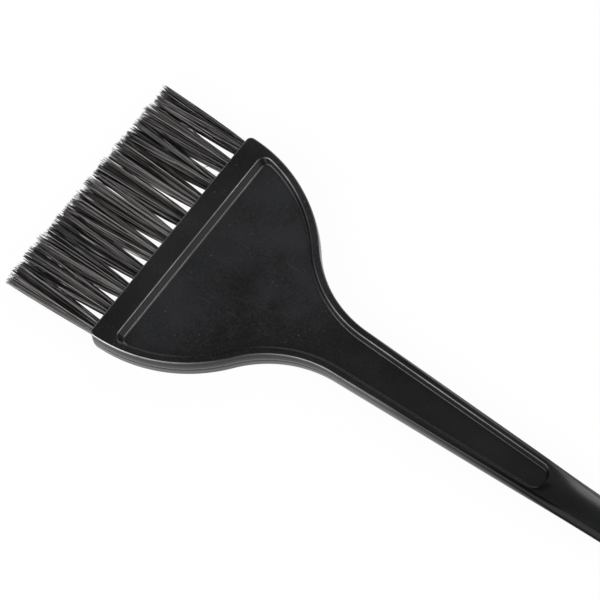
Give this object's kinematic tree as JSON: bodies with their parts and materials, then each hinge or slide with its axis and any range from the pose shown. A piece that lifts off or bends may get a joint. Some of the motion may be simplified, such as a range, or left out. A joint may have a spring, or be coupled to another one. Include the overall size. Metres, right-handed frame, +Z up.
{
  "type": "tint brush",
  "caption": "Wide flat salon brush for spreading hair colour: a moulded paddle that narrows into a straight handle, with a row of filament tufts in its front edge.",
  "frame": {"origin": "centre of the bounding box, on the back face that the brush lies on", "axes": "+X along the handle from the bristles to the tail, +Y across the head, +Z up out of the top face"},
  "size_m": [0.2192, 0.0824, 0.0087],
  "materials": {
    "handle_plastic": "black moulded plastic, satin, with fine scuffs on the recessed faces",
    "filament": "dark nylon filament, slightly glossy",
    "anchor_wire": "plain drawn flat wire"
  },
  "bodies": {
    "root": {"handle": "handle_plastic", "tuft_01": "filament", "tuft_02": "filament", "tuft_03": "filament", "tuft_04": "filament", "tuft_05": "filament", "tuft_06": "filament", "tuft_07": "filament", "tuft_08": "filament", "tuft_09": "filament", "tuft_10": "filament", "tuft_11": "filament", "anchor_01": "anchor_wire", "anchor_02": "anchor_wire", "anchor_03": "anchor_wire", "anchor_04": "anchor_wire", "anchor_05": "anchor_wire", "anchor_06": "anchor_wire", "anchor_07": "anchor_wire", "anchor_08": "anchor_wire", "anchor_09": "anchor_wire", "anchor_10": "anchor_wire", "anchor_11": "anchor_wire"}
  },
  "joints": []
}
